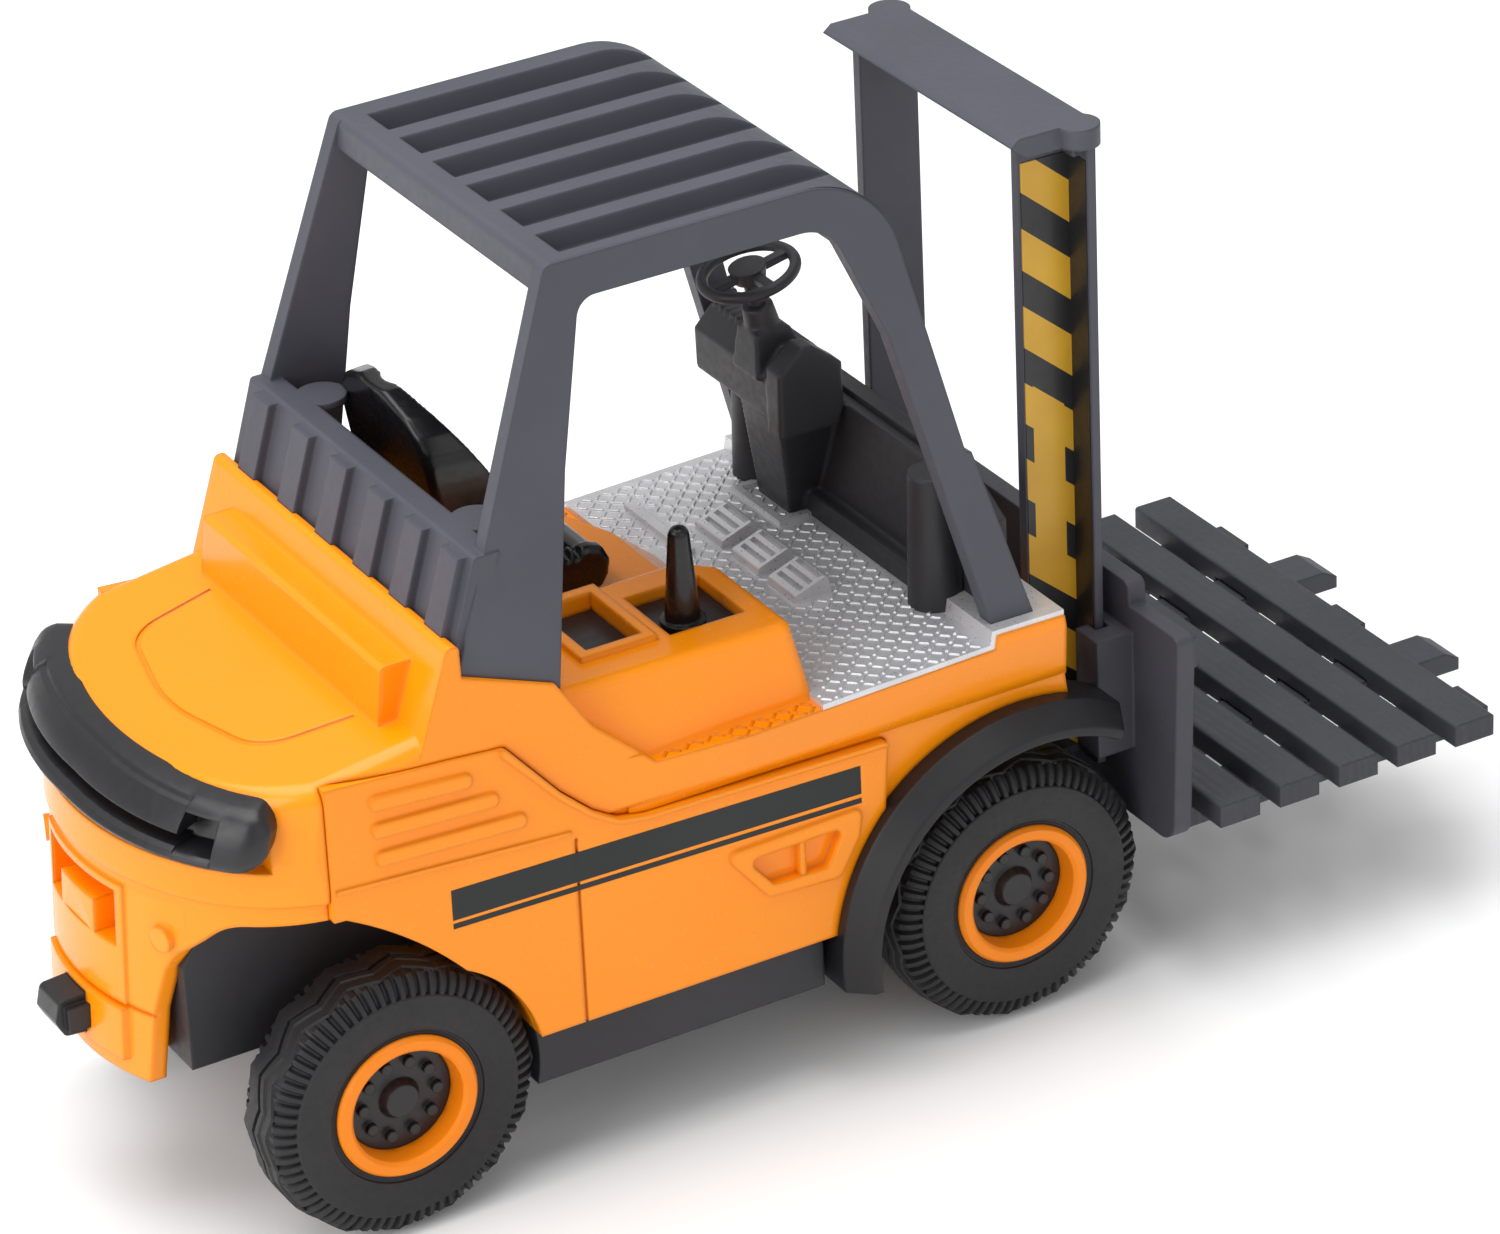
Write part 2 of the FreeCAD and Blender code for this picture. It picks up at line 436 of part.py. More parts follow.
console_tray = block(29.5, 51.5, -23.6, -7.2, 58.4, 59.9)
console_tray = console_tray.fuse(block(32.2, 34.6, -19.0, -18.0, 59.9, 60.6))
control_lever = rod(2.7, (44.4, -17.0, 59.9), (0, 0, 1), 1.0)
control_lever = control_lever.fuse(Part.makeCone(2.1, 1.25, 10.6, FreeCAD.Vector(44.4, -17.0, 60.9)))
control_lever = control_lever.fuse(Part.makeSphere(1.25, FreeCAD.Vector(44.4, -17.0, 71.4)))

HEAD = [(69.7, 68.6, 1), (69.8, 74.6, 1), (72.4, 77.6, 1), (76.2, 77.8, 1), (78.0, 70.6, 1),
        (77.4, 68.6, 1)]
dash = prism("xz", HEAD, DRIVER_Y - 4.4, DRIVER_Y + 13.4)
GLOVE_BOX = [(69.3, 68.0, 1), (69.5, 76.4, 1), (73.2, 78.8, 1), (77.0, 78.4, 1), (78.2, 71.0, 1),
             (77.6, 68.0, 1)]
dash = dash.fuse(prism("xz", GLOVE_BOX, DRIVER_Y - 7.4, DRIVER_Y - 4.2))
leg_low = outline("xy", [(75.2, 11.6), (79.9, 11.6), (79.9, 19.0), (75.2, 19.0)], 51.4)
leg_high = outline("xy", [(70.0, 4.0), (77.4, 4.0), (77.4, 13.6), (70.0, 13.6)], 69.6)
dash = dash.fuse(Part.makeLoft([leg_low, leg_high], True, True))
POST_Y = [-17.4, 22.8]
POST_X = 77.6
for y in POST_Y:
    dash = dash.fuse(Part.makeCone(3.3, 2.9, 18.4, FreeCAD.Vector(POST_X, y, 51.6)))
BULKHEAD = [(-20.2, 51.6), (-20.2, 70.0, 3), (25.6, 70.0, 3), (25.6, 51.6)]
dash = dash.fuse(prism("yz", BULKHEAD, 78.6, 80.0))
WHEEL_CENTRE = FreeCAD.Vector(70.2, DRIVER_Y, 86.6)
COLUMN_TILT_DEG = 12.0


def on_column(shape):
    """Moves a shape built about the origin, axis up, to the top of the steering column."""
    placed = shape.copy()
    placed.rotate(FreeCAD.Vector(0, 0, 0), FreeCAD.Vector(0, 1, 0), -COLUMN_TILT_DEG)
    placed.translate(WHEEL_CENTRE)
    return placed


column = rod(1.9, (0, 0, -14.5), (0, 0, 1), 9.5)
column = column.fuse(Part.makeCone(3.2, 2.0, 3.0, FreeCAD.Vector(0, 0, -8.5)))
column = column.fuse(block(-3.6, 3.4, -2.8, 2.8, -12.6, -7.6))
dash = dash.fuse(on_column(column)).cut(on_column(rod(1.05, (0, 0, -12), (0, 0, 1), 14)))
dash_cowl = dash.cut(floor_plate).cut(body)
ring = Part.makeTorus(5.6, 0.7)
spokes = block(-0.6, 0.6, -5.5, 0, -0.5, 0.4)
spokes = spokes.fuse(block(-5.5, 0.0, -0.6, 0.6, -0.5, 0.4)).fuse(block(0.0, 5.5, -0.6, 0.6, -0.5, 0.4))
hub = Part.makeCone(1.9, 2.3, 1.8, FreeCAD.Vector(0, 0, -1.0))
stem = rod(1.0, (0, 0, -11.0), (0, 0, 1), 10.5)
steering_wheel = ring.fuse(spokes).fuse(hub).fuse(stem)
steering_wheel = on_column(steering_wheel)

COWL_TOP = [(-26.0, 52.0), (-26.0, 66.0), (-18.0, 70.6, 4), (18.0, 70.6, 4), (26.0, 66.0), (26.0, 52.0)]
front_cowl = prism("yz", COWL_TOP, 80.0, 82.2)
front_cowl = front_cowl.cut(guard).cut(body).cut(floor_plate)
dash_cowl = dash_cowl.cut(front_cowl).cut(guard)

# ---- mast ---------------------------------------------------------------------------------
web = block(MAST_REAR_X, MAST_FRONT_X, MAST_WEB_Y, MAST_WEB_Y + MAST_WEB_THICK, 27.0, MAST_TOP_Z - 2)
flange = block(MAST_FRONT_X - 1.1, MAST_FRONT_X, MAST_WEB_Y, FLANGE_Y, 27.0, MAST_TOP_Z - 2)
mast = both_sides(web.fuse(flange))
MAST_FOOT = [(88.5, 14.5), (88.5, 40.0), (91.5, 40.0), (93.5, 34.0), (96.5, 30.0), (96.5, 16.5)]
mast = mast.fuse(prism("xz", MAST_FOOT, -15.0, 15.0))
mast = mast.fuse(block(MAST_REAR_X, 93.0, -17.0, 17.0, 34.0, 40.0))
BEAM_SECTION = [(87.5, MAST_TOP_Z - 0.9), (88.6, MAST_TOP_Z), (98.6, MAST_TOP_Z, 0.6),
                (99.4, MAST_TOP_Z - 2.1, 0.6), (97.4, MAST_TOP_Z - 2.6), (97.2, MAST_TOP_Z - 4.1),
                (95.8, MAST_TOP_Z - 4.1), (95.6, MAST_TOP_Z - 2.6), (89.6, MAST_TOP_Z - 2.6)]
mast = mast.fuse(prism("xz", BEAM_SECTION, -20.4, 20.4))
mast = mast.fuse(both_sides(rod(2.5, (96.6, 20.3, MAST_TOP_Z - 2.5), (0, 0, 1), 2.5)))
WEB_OUTSIDE_Y = MAST_WEB_Y + MAST_WEB_THICK
FLANGE_REAR_X = MAST_FRONT_X - 1.1
FILM_TOP_Z = MAST_TOP_Z - 4.3
sticker = block(MAST_REAR_X + 0.2, FLANGE_REAR_X, WEB_OUTSIDE_Y, WEB_OUTSIDE_Y + FILM, 28.0, FILM_TOP_Z)
sticker_return = block(FLANGE_REAR_X - FILM, FLANGE_REAR_X, WEB_OUTSIDE_Y, FLANGE_Y - 0.3, 28.0, FILM_TOP_Z)
sticker = sticker.fuse(sticker_return)

# ---- carriage -----------------------------------------------------------------------------
CARRIAGE_FACE = [
    (-33.6, 20.5, 3), (-34.8, 48.5, 1), (-24.6, 48.5), (-24.4, 51.5, 1), (24.4, 51.5, 1), (24.6, 48.5),
    (34.8, 48.5, 1), (33.6, 20.5, 3)]
carriage = prism("yz", CARRIAGE_FACE, PLATE_REAR_X, PLATE_FRONT_X)
carriage = carriage.fuse(block(PLATE_FRONT_X - 0.2, PLATE_FRONT_X + 0.5, -34.4, 34.4, 44.0, 48.0))
HOOK_REAR_X = 94.6
HOOK_LOW_Z = 30.0
HOOK_TOP_Z = 45.5
hook = block(HOOK_REAR_X, PLATE_REAR_X, FLANGE_Y + 0.6, HOOK_Y, HOOK_LOW_Z, HOOK_TOP_Z)
hook = hook.fuse(block(HOOK_REAR_X, MAST_FRONT_X - 1.5, 20.8, HOOK_Y, HOOK_LOW_Z, HOOK_TOP_Z))
hook = hook.fuse(block(MAST_FRONT_X + 0.4, PLATE_REAR_X, MAST_WEB_Y, HOOK_Y, HOOK_LOW_Z, HOOK_TOP_Z))
TINE = [(PLATE_REAR_X, TINE_BOTTOM_Z, 1.2), (PLATE_REAR_X, 30.0), (PLATE_FRONT_X + 0.4, 30.0),
        (PLATE_FRONT_X + 0.4, TINE_TOP_Z), (151.5, TINE_TOP_Z), (FORK_TIP_X, 20.8),
        (FORK_TIP_X, TINE_BOTTOM_Z)]
tine = prism("xz", TINE, TINE_Y - TINE_WIDTH / 2, TINE_Y + TINE_WIDTH / 2)
carriage = carriage.fuse(both_sides(hook)).fuse(both_sides(tine))

# ---- pallet -------------------------------------------------------------------------------
pallet = None
FIRST_PLANK_X = 139.4
for k in range(PLANK_COUNT):
    x0 = FIRST_PLANK_X - PLANK_PITCH * k
    plank = prism("xz", [(x0, PLANK_BOTTOM_Z), (x0, PLANK_TOP_Z, 0.4), (x0 + PLANK_WIDTH, PLANK_TOP_Z, 0.4),
                         (x0 + PLANK_WIDTH, PLANK_BOTTOM_Z)], -PALLET_HALF_Y, PALLET_HALF_Y)
    pallet = plank if pallet is None else pallet.fuse(plank)
for y in (-STRINGER_Y, 0.0, STRINGER_Y):
    pallet = pallet.fuse(block(103.0, 148.6, y - 3.1, y + 3.1, 18.8, PLANK_BOTTOM_Z))
for y in (-TINE_Y, TINE_Y):
    channel_half = TINE_WIDTH / 2 + 0.4
    pallet = pallet.cut(block(100, 150, y - channel_half, y + channel_half, 15, TINE_TOP_Z + 0.35))

# ---- export -------------------------------------------------------------------------------
os.makedirs("parts", exist_ok=True)
export("body_shell", body)
export("floor_plate", floor_plate)
export("rear_grille_bar", rear_grille_bar)
export("tow_hook", tow_hook)
export("chassis_base", chassis)
export("body_screws", body_screws)
for side, name in ((1, "left"), (-1, "right")):
    turn = (lambda shape: shape) if side > 0 else mirrored
    export("side_panel_" + name, turn(panel))
    export("side_stripe_" + name, turn(stripe))
    export("front_fender_" + name, turn(fender))
    export("mast_sticker_" + name, turn(sticker))
    for axle_x, axle in ((0.0, "rear"), (WHEELBASE, "front")):
        tyre, rim, cap = wheel(axle_x, side)
        export("tyre_" + axle + "_" + name, tyre)
        export("rim_" + axle + "_" + name, rim)
        export("hub_cap_" + axle + "_" + name, cap)
for axle_x, axle in ((0.0, "rear"), (WHEELBASE, "front")):
    export(axle + "_axle", rod(AXLE_RADIUS, (axle_x, -24.8, TYRE_RADIUS), (0, 1, 0), 49.6))
export("overhead_guard", guard)
export("seat", seat)
export("console_tray", console_tray)
export("control_lever", control_lever)
export("dash_cowl", dash_cowl)
export("steering_wheel", steering_wheel)
export("front_cowl", front_cowl)
export("mast_frame", mast)
export("carriage", carriage)
export("pallet", pallet)
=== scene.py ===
"""Toy forklift truck: finishes, grille bar, tyres, chequer plate, seat, dash, studio and camera.

Lengths are written in the toy's own millimetres, with the rear axle over X = 0, and go through
toy() into the frame's metres.
"""

import json
import math

import bmesh
import bpy
from mathutils import Matrix, Vector
from mathutils.bvhtree import BVHTree


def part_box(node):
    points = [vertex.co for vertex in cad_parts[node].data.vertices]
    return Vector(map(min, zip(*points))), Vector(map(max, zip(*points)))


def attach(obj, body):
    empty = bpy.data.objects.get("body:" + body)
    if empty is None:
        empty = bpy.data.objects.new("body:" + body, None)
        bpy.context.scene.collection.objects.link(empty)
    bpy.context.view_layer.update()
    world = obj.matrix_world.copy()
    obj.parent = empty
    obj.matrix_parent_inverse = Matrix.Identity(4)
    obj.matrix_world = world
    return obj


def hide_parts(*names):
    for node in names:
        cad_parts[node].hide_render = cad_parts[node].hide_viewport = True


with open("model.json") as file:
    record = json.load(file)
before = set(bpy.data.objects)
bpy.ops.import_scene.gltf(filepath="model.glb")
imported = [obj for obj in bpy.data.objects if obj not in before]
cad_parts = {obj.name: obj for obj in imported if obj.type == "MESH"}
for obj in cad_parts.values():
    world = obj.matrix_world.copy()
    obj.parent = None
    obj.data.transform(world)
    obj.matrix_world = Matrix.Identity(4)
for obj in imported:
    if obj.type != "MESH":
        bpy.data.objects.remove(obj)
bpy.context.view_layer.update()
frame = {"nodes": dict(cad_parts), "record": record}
nodes = frame["nodes"]
scene = bpy.context.scene
MM = 0.001


def centre_of(name):
    """Middle of a CAD node's box, in metres."""
    low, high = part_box(name)
    return [(a + b) / 2 for a, b in zip(low, high)]


REAR_AXLE = centre_of("rear_axle")
FRONT_AXLE = centre_of("front_axle")


def toy(x, y, z):
    """A point in the toy's millimetres, as a point of the frame."""
    return Vector((REAR_AXLE[0] + x * MM, y * MM, z * MM))


# ---- shader helpers -----------------------------------------------------------------------
def link(tree, a, b):
    tree.links.new(a, b)


def node(tree, kind, **values):
    """Adds a shader node; keyword names are its attributes."""
    made = tree.nodes.new(kind)
    for key, value in values.items():
        setattr(made, key, value)
    return made


def math_node(tree, operation, a, b=None):
    made = node(tree, "ShaderNodeMath", operation=operation)
    for socket, value in zip(made.inputs, (a, b)):
        if value is None:
            continue
        if isinstance(value, (int, float)):
            socket.default_value = value
        else:
            link(tree, value, socket)
    return made.outputs[0]


def place(tree):
    """Position in the object's own space, in metres."""
    return node(tree, "ShaderNodeTexCoord").outputs["Object"]


def noise(tree, scale, detail=3.0):
    """Noise over the object's own space."""
    made = node(tree, "ShaderNodeTexNoise")
    made.inputs["Scale"].default_value = scale
    made.inputs["Detail"].default_value = detail
    link(tree, place(tree), made.inputs["Vector"])
    return made.outputs["Fac"]


# the band that noise mostly stays within
NOISE_LOW = 0.3
NOISE_HIGH = 0.7


def blend_colour(tree, fac, dark, light):
    """Runs from one colour to the other across the band of the noise."""
    ramp = node(tree, "ShaderNodeValToRGB")
    ramp.color_ramp.elements[0].position = NOISE_LOW
    ramp.color_ramp.elements[0].color = (*dark, 1)
    ramp.color_ramp.elements[1].position = NOISE_HIGH
    ramp.color_ramp.elements[1].color = (*light, 1)
    link(tree, fac, ramp.inputs["Fac"])
    return ramp.outputs["Color"]


def spread(tree, fac, low, high):
    """Spreads the band of the noise from a low value to a high one."""
    made = node(tree, "ShaderNodeMapRange")
    made.inputs["From Min"].default_value = NOISE_LOW
    made.inputs["From Max"].default_value = NOISE_HIGH
    made.inputs["To Min"].default_value = low
    made.inputs["To Max"].default_value = high
    link(tree, fac, made.inputs["Value"])
    return made.outputs["Result"]


def add_relief(tree, height, strength, depth):
    """Lays one more bump over whatever already feeds the shader's normal."""
    shader = tree.nodes["Principled BSDF"]
    relief = node(tree, "ShaderNodeBump")
    relief.inputs["Strength"].default_value = strength
    relief.inputs["Distance"].default_value = depth * MM
    link(tree, height, relief.inputs["Height"])
    if shader.inputs["Normal"].links:
        link(tree, shader.inputs["Normal"].links[0].from_socket, relief.inputs["Normal"])
    link(tree, relief.outputs["Normal"], shader.inputs["Normal"])


COAT_ROUGHNESS = 0.08
BEVEL_SAMPLES = 6
DRIFT_DETAIL = 4.0
GRAIN_DEPTH = 0.05


def finish(name, dark, light, rough, grain=900.0, bump=0.02, coat=0.0, metallic=0.0, edge=0.4,
           mottle=60.0, specular=0.5):
    """A moulded or painted finish: slow colour drift, fine surface grain and softened edges.

    rough is the lowest and highest roughness, grain and mottle are noise scales per metre, and edge
    is the radius of the softened edges in the toy's millimetres.
    """
    material = bpy.data.materials.new(name)
    material.use_nodes = True
    tree = material.node_tree
    shader = tree.nodes["Principled BSDF"]
    drift = noise(tree, mottle, DRIFT_DETAIL)
    fine = noise(tree, grain)
    link(tree, blend_colour(tree, drift, dark, light), shader.inputs["Base Color"])
    link(tree, spread(tree, fine, *rough), shader.inputs["Roughness"])
    for socket, value in (("Metallic", metallic), ("Specular IOR Level", specular),
                          ("Coat Weight", coat), ("Coat Roughness", COAT_ROUGHNESS)):
        shader.inputs[socket].default_value = value
    if edge > 0:
        soft = node(tree, "ShaderNodeBevel", samples=BEVEL_SAMPLES)
        soft.inputs["Radius"].default_value = edge * MM
        link(tree, soft.outputs["Normal"], shader.inputs["Normal"])
    add_relief(tree, fine, bump, GRAIN_DEPTH)
    return material


# ---- finishes -----------------------------------------------------------------------------
ORANGE = finish("orange_enamel", (0.92, 0.262, 0.001), (0.95, 0.285, 0.002), (0.20, 0.28), coat=0.15,
                edge=0.8, mottle=25.0, bump=0.006, specular=0.3)
ORANGE_RIM = finish("orange_rim", (0.86, 0.22, 0.002), (0.92, 0.25, 0.003), (0.36, 0.46), edge=0.35,
                    specular=0.3)
GREY = finish("grey_nylon", (0.062, 0.063, 0.080), (0.072, 0.073, 0.092), (0.42, 0.54), bump=0.04, edge=0.5,
              specular=0.35)
DARK_GREY = finish("dark_grey_nylon", (0.044, 0.045, 0.056), (0.052, 0.053, 0.066), (0.44, 0.56), bump=0.04,
                   edge=0.5, specular=0.35)
CHARCOAL = finish("charcoal_nylon", (0.022, 0.022, 0.026), (0.029, 0.029, 0.033), (0.42, 0.54), bump=0.04,
                  edge=0.4, specular=0.35)
BLACK = finish("black_nylon", (0.006, 0.006, 0.008), (0.010, 0.010, 0.012), (0.36, 0.48), bump=0.04,
               edge=0.5, specular=0.4)
SATIN_BLACK = finish("satin_black", (0.009, 0.009, 0.011), (0.014, 0.014, 0.016), (0.30, 0.42), bump=0.03,
                     edge=0.3, specular=0.45)
GLOSS_BLACK = finish("gloss_black", (0.004, 0.004, 0.005), (0.007, 0.007, 0.008), (0.20, 0.30), coat=0.08,
                     edge=0.5, specular=0.4)
RUBBER = finish("tyre_rubber", (0.009, 0.009, 0.011), (0.015, 0.015, 0.017), (0.46, 0.60), grain=1500.0,
                bump=0.08, edge=0.10, specular=0.4)
SILVER = finish("silver_paint", (0.58, 0.58, 0.60), (0.68, 0.68, 0.70), (0.26, 0.38), metallic=0.5,
                edge=0.1, mottle=200.0, grain=1600.0)
STEEL = finish("bright_steel", (0.50, 0.50, 0.51), (0.62, 0.62, 0.63), (0.22, 0.36), metallic=1.0, edge=0.1)
STRIPE = finish("stripe_film", (0.008, 0.011, 0.011), (0.013, 0.017, 0.016), (0.34, 0.44), edge=0.0,
                specular=0.35)

# hazard film: bands fall away forwards, measured at its rear edge
BAND_SLOPE = 0.841
BAND_PITCH = 9.77
BAND_TOP = 107.1
BAND_YELLOW = 0.54
PANEL_LOW = 53.0
PANEL_HIGH = 78.0
FILM_REAR_X = 90.1
NOTCH_REAR_X = 91.2
NOTCH_FRONT_X = 95.4
FILM_CORNER_Y = 18.1
FILM_MOTTLE = 120.0
FILM_BLACK = ((0.008, 0.008, 0.009), (0.014, 0.014, 0.015))
FILM_YELLOW = ((0.56, 0.30, 0.016), (0.66, 0.37, 0.022))
# where a Mix node keeps its colour sockets
MIX_A = 6
MIX_B = 7
MIX_RESULT = 2


def warning_film():
    """Black film with yellow bands, a plain yellow block with notched edges, and a black return."""
    material = finish("warning_film", (0.0, 0.0, 0.0), (0.0, 0.0, 0.0), (0.34, 0.46), edge=0.0, coat=0.1)
    tree = material.node_tree
    split = node(tree, "ShaderNodeSeparateXYZ")
    link(tree, place(tree), split.inputs["Vector"])
    across = math_node(tree, "SUBTRACT", split.outputs["X"], REAR_AXLE[0])
    across = math_node(tree, "MULTIPLY", across, 1 / MM)
    height = math_node(tree, "MULTIPLY", split.outputs["Z"], 1 / MM)
    fall = math_node(tree, "MULTIPLY", math_node(tree, "SUBTRACT", across, FILM_REAR_X), BAND_SLOPE)
    slanted = math_node(tree, "ADD", height, fall)
    below_top = math_node(tree, "SUBTRACT", BAND_TOP, slanted)
    cycle = math_node(tree, "FRACT", math_node(tree, "DIVIDE", below_top, BAND_PITCH))
    band = math_node(tree, "LESS_THAN", cycle, BAND_YELLOW)
    above = math_node(tree, "GREATER_THAN", slanted, PANEL_LOW)
    under = math_node(tree, "LESS_THAN", slanted, PANEL_HIGH)
    middle = math_node(tree, "MULTIPLY", math_node(tree, "GREATER_THAN", across, NOTCH_REAR_X),
                       math_node(tree, "LESS_THAN", across, NOTCH_FRONT_X))
    block = math_node(tree, "MULTIPLY", math_node(tree, "MULTIPLY", above, under), middle)
    outward = math_node(tree, "MULTIPLY", math_node(tree, "ABSOLUTE", split.outputs["Y"]), 1 / MM)
    flat = math_node(tree, "LESS_THAN", outward, FILM_CORNER_Y)
    yellow = math_node(tree, "MULTIPLY", math_node(tree, "MAXIMUM", band, block), flat)
    drift = noise(tree, FILM_MOTTLE)
    mix = node(tree, "ShaderNodeMix", data_type="RGBA")
    link(tree, yellow, mix.inputs["Factor"])
    link(tree, blend_colour(tree, drift, *FILM_BLACK), mix.inputs[MIX_A])
    link(tree, blend_colour(tree, drift, *FILM_YELLOW), mix.inputs[MIX_B])
    link(tree, mix.outputs[MIX_RESULT], tree.nodes["Principled BSDF"].inputs["Base Color"])
    return material


def plank_grain():
    """Grey moulded planks with a pressed wood grain that runs along them."""
    material = finish("pallet_grain", (0.036, 0.037, 0.045), (0.046, 0.047, 0.056), (0.46, 0.60), edge=0.45,
                      specular=0.35)
    tree = material.node_tree
    mapping = node(tree, "ShaderNodeMapping")
    mapping.inputs["Scale"].default_value = (1.0, 0.16, 0.4)
    link(tree, place(tree), mapping.inputs["Vector"])
    wave = node(tree, "ShaderNodeTexWave", bands_direction="X")
    for socket, value in (("Scale", 260.0), ("Distortion", 9.0), ("Detail", 3.0), ("Detail Scale", 0.7)):
        wave.inputs[socket].default_value = value
    link(tree, mapping.outputs["Vector"], wave.inputs["Vector"])
    add_relief(tree, wave.outputs["Fac"], strength=0.5, depth=0.16)
    return material


WARNING = warning_film()
GRAIN = plank_grain()


def dress(obj, material):
    obj.data.materials.clear()
    obj.data.materials.append(material)


# what a CAD node is finished in, by how its name starts
FINISHES = {
    "body_shell": ORANGE, "side_panel": ORANGE, "side_stripe": STRIPE, "rim": ORANGE_RIM,
    "tyre": RUBBER, "hub_cap": SATIN_BLACK, "tow_hook": SATIN_BLACK, "rear_grille_bar": SATIN_BLACK,
    "console_tray": SATIN_BLACK, "control_lever": GLOSS_BLACK, "seat": GLOSS_BLACK,
    "floor_plate": SILVER, "front_fender": BLACK, "chassis_base": CHARCOAL, "front_cowl": CHARCOAL,
    "dash_cowl": CHARCOAL, "steering_wheel": CHARCOAL, "overhead_guard": GREY, "mast_frame": GREY,
    "mast_sticker": WARNING, "carriage": DARK_GREY, "pallet": GRAIN,
    "body_screws": STEEL, "front_axle": STEEL, "rear_axle": STEEL}
for name, obj in nodes.items():
    for start, material in FINISHES.items():
        if name.startswith(start):
            dress(obj, material)


# ---- mesh helpers -------------------------------------------------------------------------
def piece(name, mesh, material, body, crease_deg=32.0):
    """Turns a bmesh into an object that rides on a body; edges sharper than crease_deg stay crisp."""
    bmesh.ops.recalc_face_normals(mesh, faces=mesh.faces[:])
    data = bpy.data.meshes.new(name)
    mesh.to_mesh(data)
    mesh.free()
    for face in data.polygons:
        face.use_smooth = True
    data.set_sharp_from_angle(angle=math.radians(crease_deg))
    obj = bpy.data.objects.new(name, data)
    scene.collection.objects.link(obj)
    dress(obj, material)
    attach(obj, body)
    return obj


def join_rings(mesh, rings, closed=False):
    """Quads between neighbouring rings of vertices, each a closed loop, with the ends capped."""
    count = len(rings[0])
    pairs = list(zip(rings, rings[1:]))
    if closed:
        pairs.append((rings[-1], rings[0]))
    for a, b in pairs:
        for i in range(count):
            j = (i + 1) % count
            mesh.faces.new((a[i], a[j], b[j], b[i]))
    if not closed:
        mesh.faces.new(rings[0])
        mesh.faces.new(rings[-1])


def add_hull(mesh, points):
    """Convex solid round a handful of points given in the toy's millimetres."""
    verts = [mesh.verts.new(toy(*point)) for point in points]
    bmesh.ops.convex_hull(mesh, input=verts)


def add_rod(mesh, low, high, low_radius, high_radius, sides=24):
    """Closed cone or cylinder between two points."""
    start = Vector(low)
    axis = (Vector(high) - start).normalized()
    across = axis.orthogonal().normalized()
    third = axis.cross(across)
    rings = []
    for centre, radius in ((start, low_radius), (Vector(high), high_radius)):
        ring = []
        for k in range(sides):
            turn = 2 * math.pi * k / sides
            spot = centre + (across * math.cos(turn) + third * math.sin(turn)) * radius
            ring.append(mesh.verts.new(toy(*spot)))
        rings.append(ring)
    join_rings(mesh, rings)


def moulded(obj, voxel, rounds):
    """Fuses overlapping solids into one skin and softens it; voxel is in the toy's millimetres."""
    fuse = obj.modifiers.new("fuse", "REMESH")
    fuse.mode = "VOXEL"
    fuse.voxel_size = voxel * MM
    fuse.use_smooth_shade = True
    soften = obj.modifiers.new("soften", "SMOOTH")
    soften.factor = 0.5
    soften.iterations = rounds
    shaped = bpy.data.meshes.new_from_object(obj.evaluated_get(bpy.context.evaluated_depsgraph_get()))
    obj.modifiers.clear()
    materials = list(obj.data.materials)
    obj.data = shaped
    obj.data.materials.clear()
    for material in materials:
        obj.data.materials.append(material)
    for face in obj.data.polygons:
        face.use_smooth = True


# ---- tyres --------------------------------------------------------------------------------
TYRE_INNER_Y = 18.3
TYRE_STEPS = 360
LUG_STEPS = 5
LUG_CUT_STEPS = 2
ZIG_STEPS = 24
ZIG_REACH = 0.75
LUG_DEPTH = 0.5
SECTION_MIDDLE = (5.0, 13.0)
# (distance across from the inner face, radius, kind) round the section; lug and zig points are
# shaped as the section is swept
TYRE_SECTION = [
    (0.6, 8.9, "wall"), (0.2, 10.0, "wall"), (0.0, 11.6, "wall"), (0.15, 13.4, "wall"), (0.4, 14.2, "wall"),
    (0.45, 14.3, "lug"), (0.9, 15.5, "lug"), (1.45, 16.2, "lug"), (1.9, 16.45, "lug"),
    (2.35, 16.45, "zig"), (2.5, 16.72, "zig"), (3.85, 16.76, "zig"), (4.0, 16.98, "zig"),
    (5.0, 16.98, "zig"), (5.1, 16.55, "zig"), (5.55, 16.55, "zig"), (5.65, 16.98, "zig"),
    (6.35, 16.98, "zig"), (6.5, 16.76, "zig"), (7.75, 16.72, "zig"), (7.9, 16.45, "zig"),
    (8.55, 16.42, "lug"), (9.0, 16.0, "lug"), (9.45, 15.3, "lug"), (9.75, 14.5, "lug"), (9.82, 14.15, "lug"),
    (9.84, 14.05, "wall"), (9.98, 13.9, "wall"), (10.06, 13.2, "wall"), (10.08, 12.0, "wall"),
    (9.98, 10.6, "wall"), (9.8, 9.75, "wall"), (9.55, 9.65, "wall"), (9.5, 9.4, "wall"), (9.6, 9.3, "wall"),
    (9.45, 8.9, "wall")]


def tyre_point(across, radius, kind, step):
    """Where a section point goes at one step round the tyre."""
    if kind == "zig":
        # a triangle wave between one reach inwards and one outwards
        phase = (step % ZIG_STEPS) / ZIG_STEPS
        across += ZIG_REACH * (4 * abs(phase - 0.5) - 1)
    if kind == "lug" and step % LUG_STEPS < LUG_CUT_STEPS:
        inward = Vector((SECTION_MIDDLE[0] - across, SECTION_MIDDLE[1] - radius)).normalized()
        across += inward[0] * LUG_DEPTH
        radius += inward[1] * LUG_DEPTH
    return across, radius


